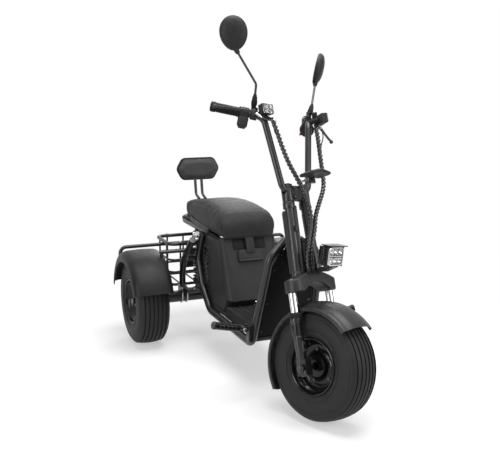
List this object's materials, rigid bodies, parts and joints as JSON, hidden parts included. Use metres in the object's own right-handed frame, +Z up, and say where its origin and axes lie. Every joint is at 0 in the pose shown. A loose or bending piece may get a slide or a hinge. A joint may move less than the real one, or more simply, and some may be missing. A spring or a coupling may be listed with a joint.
{
  "type": "three-wheeled electric scooter",
  "caption": "Step-through electric scooter with one steered wheel in front, two behind, a long saddle with a backrest, tall handlebar and a rear wire basket.",
  "frame": {"origin": "on the ground under the middle of the whole vehicle", "axes": "+X forward, +Y to the rider's left, +Z up"},
  "size_m": [1.8229, 1.058, 1.6476],
  "materials": {
    "frame_paint": "satin black powder coat",
    "black_plastic": "moulded matt black",
    "foot_rubber": "ribbed black rubber",
    "chrome": "polished chrome",
    "zinc_steel": "zinc plated",
    "shock_paint": "gloss black coil",
    "lever_paint": "satin dark grey",
    "seat_vinyl": "black vinyl with a fine grain",
    "clear_lens": "clear moulded lens",
    "red_lens": "red moulded lens",
    "mirror_glass": "silvered glass",
    "loom_wrap": "spiral wrap",
    "tyre_rubber": "black rubber, ribbed tread",
    "rim_paint": "satin black"
  },
  "bodies": {
    "frame": {"main_frame": "frame_paint", "leg_shield": "black_plastic", "footboard": "foot_rubber", "battery": "black_plastic", "side_panel_right": "black_plastic", "side_panel_left": "black_plastic", "front_panel": "black_plastic", "seat_catch": "black_plastic", "rear_subframe": "frame_paint", "shock_right": "shock_paint", "shock_left": "shock_paint", "axle_housing": "frame_paint", "basket": "frame_paint", "fender_hoop": "frame_paint", "rear_fender_right": "black_plastic", "rear_fender_left": "black_plastic", "tail_lamp": "red_lens", "plate_bracket": "frame_paint", "seat_bearers": "frame_paint", "peg_brackets": "frame_paint"},
    "seat": {"seat_pan": "black_plastic", "saddle": "seat_vinyl", "rear_pad": "seat_vinyl", "backrest_posts": "frame_paint", "backrest_pad": "seat_vinyl", "latch_strap": "foot_rubber"},
    "steering": {"yoke": "frame_paint", "fork_columns": "frame_paint", "steering_stem": "frame_paint", "upper_clamp": "frame_paint", "stanchions": "chrome", "fork_legs": "frame_paint", "front_axle": "zinc_steel", "front_fender": "black_plastic", "headlamp_housing": "black_plastic", "headlamp_lens": "clear_lens", "headlamp_bracket": "frame_paint", "handlebar": "frame_paint", "grips": "foot_rubber", "bar_controls": "black_plastic", "brake_levers": "lever_paint", "mirror_stalks": "frame_paint", "mirror_shells": "black_plastic", "mirror_glass": "mirror_glass", "turn_lamp_bodies": "black_plastic", "turn_lamp_lenses": "clear_lens", "display": "black_plastic", "display_bracket": "frame_paint", "loom_right": "loom_wrap", "loom_left": "loom_wrap", "loom_glands": "zinc_steel"},
    "front_wheel": {"front_wheel_tyre": "tyre_rubber", "front_wheel_rim": "rim_paint"},
    "rear_wheel_right": {"rear_wheel_right_tyre": "tyre_rubber", "rear_wheel_right_rim": "rim_paint"},
    "rear_wheel_left": {"rear_wheel_left_tyre": "tyre_rubber", "rear_wheel_left_rim": "rim_paint"},
    "peg_right": {"peg_right": "foot_rubber"},
    "peg_left": {"peg_left": "foot_rubber"}
  },
  "joints": [
    {"name": "steer", "type": "hinge", "parent": "frame", "child": "steering", "pos_m": [0.50748, 0, 0.6579], "axis": [-0.3584, 0, 0.9336], "range_deg": [-62, 18]},
    {"name": "front_wheel_spin", "type": "hinge", "parent": "steering", "child": "front_wheel", "pos_m": [0.68185, 0.00412, 0.23211], "axis": [-0.3497, 0.9272, -0.1342], "continuous": true},
    {"name": "rear_wheel_right_spin", "type": "hinge", "parent": "frame", "child": "rear_wheel_right", "pos_m": [-0.5634, -0.416, 0.228], "axis": [0, 1, 0], "continuous": true},
    {"name": "rear_wheel_left_spin", "type": "hinge", "parent": "frame", "child": "rear_wheel_left", "pos_m": [-0.5634, 0.416, 0.228], "axis": [0, 1, 0], "continuous": true},
    {"name": "seat_lift", "type": "hinge", "parent": "frame", "child": "seat", "pos_m": [-0.8514, 0, 0.604], "axis": [0, -1, 0], "range_deg": [0, 60]},
    {"name": "peg_right_fold", "type": "hinge", "parent": "frame", "child": "peg_right", "pos_m": [0.3026, -0.2, 0.3], "axis": [-1, 0, 0], "range_deg": [0, 70]},
    {"name": "peg_left_fold", "type": "hinge", "parent": "frame", "child": "peg_left", "pos_m": [0.3026, 0.2, 0.3], "axis": [1, 0, 0], "range_deg": [0, 70]}
  ]
}
